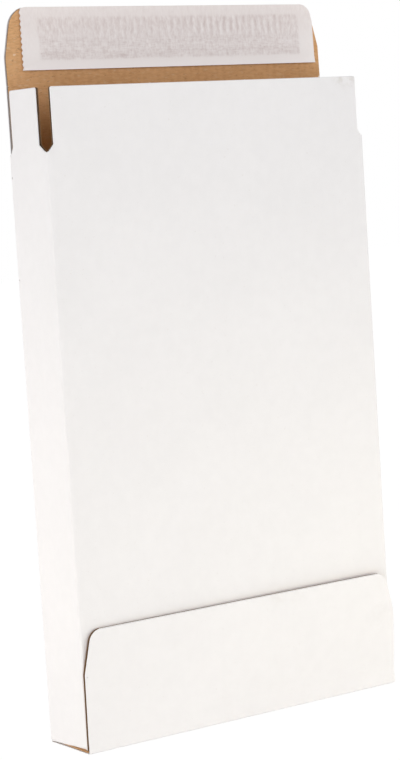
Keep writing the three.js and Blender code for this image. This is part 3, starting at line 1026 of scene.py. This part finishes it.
class MAILER_OT_top_flaps(bpy.types.Operator):
    """Front flap and the two dust flaps"""

    bl_idname = "mailer.top_flaps"
    bl_label = "Top flaps"

    def execute(self, context):
        ear = HALF - SLOT_EAR
        end = FLAP_HIGH.z - FRONT_CREASE
        corners, cells = slotted(-ear, ear, -HALF + FRONT_LEFT, HALF - FRONT_RIGHT, FRONT_CREASE, end)
        piece = Piece("front_flap_board", *board_finishes())
        sandwich(piece, corners, FRONT_PLACE, cells, PRESS_FLAP, [GAP])
        top = BOARD - PRESS_FLAP
        for u in NICKS:
            tab = [
                (u - NICK_ROOT, end - NICK_SINK, 0),
                (u + NICK_ROOT, end - NICK_SINK, 0),
                (u + NICK_TIP, end + NICK_RISE, NICK_CORNER),
                (u - NICK_TIP, end + NICK_RISE, NICK_CORNER),
            ]
            piece.add(plate(tab, top - NICK_THICKNESS, top), FRONT_PLACE, WHITE)
        ride(piece.done(), "front", "front_flap")
        toe = BOARD + SLOT_TOE
        sides = (FRONT + toe, REAR - toe, FRONT + DUST_FRONT, REAR - DUST_REAR)
        for side, place in (("left", LEFT_PLACE), ("right", RIGHT_PLACE)):
            corners, cells = slotted(*sides, DUST_CREASE, DUST_LENGTH)
            piece = Piece(f"{side}_dust_flap_board", *board_finishes(SIDE_FLUTES))
            sandwich(piece, corners, place, cells, PRESS_FLAP, [GAP])
            ride(piece.done(), f"{side}_dust", f"{side}_dust_flap")
        return {"FINISHED"}


class MAILER_OT_closure(bpy.types.Operator):
    """Lid panel and seal flap"""

    bl_idname = "mailer.closure"
    bl_label = "Closure flap"

    def execute(self, context):
        top = SEAL_CREASE - REAR_CREASE - GAP
        lid = oblong(CLOSURE_LEFT, CLOSURE_RIGHT, GAP, top)
        brown = oblong(CLOSURE_LEFT + BROWN_SETBACK, CLOSURE_RIGHT, GAP, top)
        ends = (CLOSURE_LEFT + PRESS_MARGIN, CLOSURE_RIGHT - PRESS_MARGIN)
        piece = Piece("lid_panel_board", *board_finishes())
        sandwich(piece, lid, LID_PLACE, None, PRESS_LID, [GAP, top], brown, ends)
        ride(piece.done(), "lid", "lid_panel")
        seal, brown = seal_outline(), seal_outline(setback=BROWN_SETBACK)
        piece = Piece("seal_flap_board", *board_finishes())
        sandwich(piece, seal, SEAL_PLACE, [rounded(seal)], PRESS_LID, [GAP], brown, ends)
        ride(piece.done(), "seal", "seal_flap")
        return {"FINISHED"}


def skin(corners, level, lean):
    """A thin strip on a face, finely divided along the crease at v = 0 and dented there."""
    shell = flat_face(corners)
    score(shell, (), [-SKIN_EDGE, *SKIN_ROWS, SKIN_EDGE])
    outward = 1 if level > 0 else -1
    for vert in shell.verts:
        vert.co.z = -outward * SKIN_DENT * MM * math.exp(-((vert.co.y / MM / DENT_REACH) ** 2))
    thicken(shell, level - outward * SKIN_DEPTH, level + outward * SKIN_PROUD)
    upper = [v for v in shell.verts if v.co.y > 0]
    bmesh.ops.rotate(shell, verts=upper, cent=(0, 0, 0), matrix=Matrix.Rotation(lean, 3, "X"))
    return shell


class MAILER_OT_creases(bpy.types.Operator):
    """Faces of the board that run on over the top creases"""

    bl_idname = "mailer.creases"
    bl_label = "Creases"

    def execute(self, context):
        reach = SKIN_REACH
        flat = HALF - FOLD_RADIUS
        ear = HALF - SLOT_EAR
        toe = BOARD + SLOT_TOE
        slope = (reach - SLOT_FOOT) / (SLOT_RISE - SLOT_FOOT)
        left, right = [ear - slope * (slot - SLOT_EAR) for slot in (FRONT_LEFT, FRONT_RIGHT)]
        dust = (FRONT + toe, REAR - toe)
        seal = (CLOSURE_LEFT + PRESS_MARGIN, CLOSURE_RIGHT - PRESS_MARGIN)
        rear = (max(seal[0], -flat), min(seal[1], flat))
        seal_place = place_of(X, Z, Y, HINGES["seal_fold"])
        jobs = [
            ("front_crease", FRONT_PLACE, "carton", "front", (-ear, ear), (-left, right), FRONT_FLUTES),
            ("left_dust_crease", LEFT_PLACE, "carton", "left_dust", dust, dust, SIDE_FLUTES),
            ("right_dust_crease", RIGHT_PLACE, "carton", "right_dust", dust, dust, SIDE_FLUTES),
            ("rear_crease", LID_PLACE, "carton", "lid", rear, rear, FRONT_FLUTES),
            ("seal_crease", seal_place, "lid", "seal", seal, seal, FRONT_FLUTES),
        ]
        for name, place, fixed, moving, low, high, across in jobs:
            corners = [
                (low[0], -reach, 0),
                (low[1], -reach, 0),
                (low[1], 0, 0),
                (high[1], reach, 0),
                (high[0], reach, 0),
                (low[0], 0, 0),
            ]
            lean = SEAL_LEAN if moving == "seal" else 0.0
            piece = Piece(name, finish_of("white_face", across), finish_of("brown_face", across))
            piece.add(skin(corners, BOARD, lean), place, WHITE)
            piece.add(skin(corners, 0, lean), place, BROWN)
            made = piece.done()
            start, end = [place @ Vector((0, side * SKIN_BEND * MM, 0)) for side in (-1, 1)]
            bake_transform(made)
        return {"FINISHED"}


class MAILER_OT_tape(bpy.types.Operator):
    """Adhesive strip and its release liner"""

    bl_idname = "mailer.tape"
    bl_label = "Self-seal tape"

    def execute(self, context):
        tape = context.scene.letter_mailer.tape
        strip = oblong(GLUE_LEFT, GLUE_RIGHT, GLUE_LOW, GLUE_HIGH, GLUE_CORNER)
        piece = Piece("adhesive_film", finish_of("adhesive_film"))
        piece.add(plate(strip, -GLUE_THICKNESS, 0), SEAL_PLACE)
        ride(piece.done(), "seal", "adhesive_strip")
        low = SEAL_LENGTH - TAPE_WIDTH
        shell = flat_face(oblong(TAPE_LEFT, TAPE_RIGHT, low, SEAL_LENGTH))
        end = edges_at(shell, lambda x, y, z: abs(x - TAPE_LEFT) < NEAR)
        teeth = round(TAPE_WIDTH * MM / tape.tooth)
        bmesh.ops.subdivide_edges(shell, edges=end, cuts=2 * teeth - 1)
        half = TAPE_WIDTH / (2 * teeth)
        for vert in shell.verts:
            count = round((vert.co.y / MM - low) / half)
            if abs(vert.co.x / MM - TAPE_LEFT) < NEAR:
                vert.co.x += TAPE_SLANT * MM * count / (2 * teeth) + tape.bite * (count % 2)
        cut_to(shell, rounded(seal_outline(TAPE_TRIM)))
        # The liner lifts off the board a little beside and below the adhesive
        columns = [GLUE_LEFT + (TAPE_LEFT - GLUE_LEFT) * i / ARC_STEPS for i in range(ARC_STEPS)]
        score(shell, columns, [GLUE_LOW + (low - GLUE_LOW) * i / ARC_STEPS for i in range(ARC_STEPS)])
        for vert in shell.verts:
            beside = (GLUE_LEFT - vert.co.x / MM) / (GLUE_LEFT - TAPE_LEFT)
            below = (GLUE_LOW - vert.co.y / MM) / (GLUE_LOW - low)
            vert.co.z -= TAPE_LIFT * MM * max(beside, below, 0) ** 2
        thicken(shell, -GLUE_THICKNESS - TAPE_THICKNESS, -GLUE_THICKNESS)
        piece = Piece("liner_paper", finish_of("release_paper"))
        piece.add(shell, SEAL_PLACE)
        ride(piece.done(), "seal", "release_liner")
        return {"FINISHED"}


# Studio, in metres: each lamp's place, size and colour, then the sky, the floor and the camera
LAMPS = {
    "front_lamp": ((-0.5, -1.1, 0.8), (0.8, 0.8), (1.0, 1.0, 1.0)),
    "side_card": ((-0.34, 0.0, 0.06), (0.5, 0.04), (1.0, 0.92, 0.78)),
    "front_card": ((0.1, -0.22, 0.025), (0.5, 0.04), (1.0, 0.925, 0.69)),
}
LAMP_AIM = (0, 0, 0.06)
SKY_COLOUR = (0.98, 0.988, 1.0)
ZENITH = 0.15
FLOOR_HALF = 4.0
FLOOR_DROP = 0.05 * MM
FLOOR_GLOW = 1.04
FLOOR_SHARE = 0.93
CAMERA_PLACE = (-0.54348, -0.764042, 0.22706)
CAMERA_RIGHT = (0.811925, -0.580328, -0.063225)
CAMERA_UP = (0.103869, 0.037039, 0.993901)
CAMERA_BACK = (-0.574447, -0.81354, 0.090351)
SENSOR_WIDTH = 36.0


class MAILER_OT_stage(bpy.types.Operator):
    """Floor, soft lamps and the camera"""

    bl_idname = "mailer.stage"
    bl_label = "Stage"

    def execute(self, context):
        scene = context.scene
        stage = scene.letter_mailer.stage
        scene.view_settings.view_transform = "Standard"
        self.world(scene, stage)
        self.floor(scene, stage)
        for name, lamp in LAMPS.items():
            self.lamp(scene, name, getattr(stage, name), *lamp)
        self.camera(scene, stage)
        return {"FINISHED"}

    def world(self, scene, stage):
        world = bpy.data.worlds.new("studio")
        world.use_nodes = True
        made = Wiring(world.node_tree)
        ray = made.node("ShaderNodeTexCoord", out="Generated")
        rise = made.node("ShaderNodeSeparateXYZ", sockets={"Vector": ray}, out="Z")
        levels = {"Value": rise, "To Min": stage.sky, "To Max": stage.sky * ZENITH}
        strength = made.node("ShaderNodeMapRange", sockets=levels)
        sky = {"Color": (*SKY_COLOUR, 1), "Strength": strength}
        lit = made.node("ShaderNodeBackground", sockets=sky)
        white = made.node("ShaderNodeBackground", sockets={"Color": (1, 1, 1, 1)})
        self.backdrop(made, lit, white, 1.0, "ShaderNodeOutputWorld")
        scene.world = world

    @staticmethod
    def backdrop(made, lit, white, share, output):
        """Shows white to the camera, and leaves the light that falls on the mailer as it is."""
        path = made.node("ShaderNodeLightPath", out=None)
        rays = ("Is Camera Ray", "Is Glossy Ray", "Is Transmission Ray")
        camera, glossy, clear = [Wire(made, path.outputs[ray]) for ray in rays]
        seen = camera.maths("MAXIMUM", glossy).maths("MAXIMUM", clear)
        shown = made.node("ShaderNodeMixShader", sockets={"Fac": seen * share, 1: lit, 2: white})
        made.node(output, sockets={"Surface": shown}, out=None)

    def floor(self, scene, stage):
        material = bpy.data.materials.new("floor_paper")
        material.use_nodes = True
        made = Wiring(material.node_tree)
        paper = {"Base Color": (*stage.floor, 1), "Roughness": 1.0, "Specular IOR Level": 0.0}
        lit = made.node("ShaderNodeBsdfPrincipled", sockets=paper)
        white = made.node("ShaderNodeEmission", sockets={"Strength": FLOOR_GLOW})
        self.backdrop(made, lit, white, FLOOR_SHARE, "ShaderNodeOutputMaterial")
        shell = bmesh.new()
        bmesh.ops.create_grid(shell, x_segments=1, y_segments=1, size=FLOOR_HALF)
        bmesh.ops.translate(shell, verts=shell.verts[:], vec=(0, 0, -FLOOR_DROP))
        mesh = bpy.data.meshes.new("floor")
        shell.to_mesh(mesh)
        shell.free()
        mesh.materials.append(material)
        floor = bpy.data.objects.new("floor", mesh)
        scene.collection.objects.link(floor)

    @staticmethod
    def lamp(scene, name, power, place, size, colour):
        light = bpy.data.lights.new(name, "AREA")
        light.energy = power
        light.color = colour
        light.shape = "RECTANGLE"
        light.size, light.size_y = size
        lamp = bpy.data.objects.new(name, light)
        lamp.location = place
        aim = Vector(LAMP_AIM) - Vector(place)
        lamp.rotation_euler = aim.to_track_quat("-Z", "Y").to_euler()
        scene.collection.objects.link(lamp)

    @staticmethod
    def camera(scene, stage):
        data = bpy.data.cameras.new("camera")
        data.lens = stage.lens
        data.sensor_width = SENSOR_WIDTH
        camera = bpy.data.objects.new("camera", data)
        turned = Matrix((CAMERA_RIGHT, CAMERA_UP, CAMERA_BACK)).transposed().to_4x4()
        camera.matrix_world = Matrix.Translation(CAMERA_PLACE) @ turned
        scene.collection.objects.link(camera)
        scene.camera = camera


STEPS = (
    MAILER_OT_stage,
    MAILER_OT_tube,
    MAILER_OT_closed_end,
    MAILER_OT_top_flaps,
    MAILER_OT_closure,
    MAILER_OT_creases,
    MAILER_OT_tape,
)


class MAILER_PT_panel(bpy.types.Panel):
    """Lists the steps that build the mailer"""

    bl_idname = "MAILER_PT_panel"
    bl_label = "Letter mailer"
    bl_space_type = "VIEW_3D"
    bl_region_type = "UI"
    bl_category = "Mailer"

    def draw(self, context):
        for step in STEPS:
            self.layout.operator(step.bl_idname)


CLASSES = (BoardSettings, TapeSettings, StageSettings, MailerSettings, *STEPS, MAILER_PT_panel)


def register():
    for one in CLASSES:
        bpy.utils.register_class(one)
    bpy.types.Scene.letter_mailer = bpy.props.PointerProperty(type=MailerSettings)


def unregister():
    del bpy.types.Scene.letter_mailer
    for one in reversed(CLASSES):
        bpy.utils.unregister_class(one)


def main():
    register()
    bpy.ops.mailer.stage()
    bpy.ops.mailer.tube()
    bpy.ops.mailer.closed_end()
    bpy.ops.mailer.top_flaps()
    bpy.ops.mailer.closure()
    bpy.ops.mailer.creases()
    bpy.ops.mailer.tape()


if __name__ == "__main__":
    main()
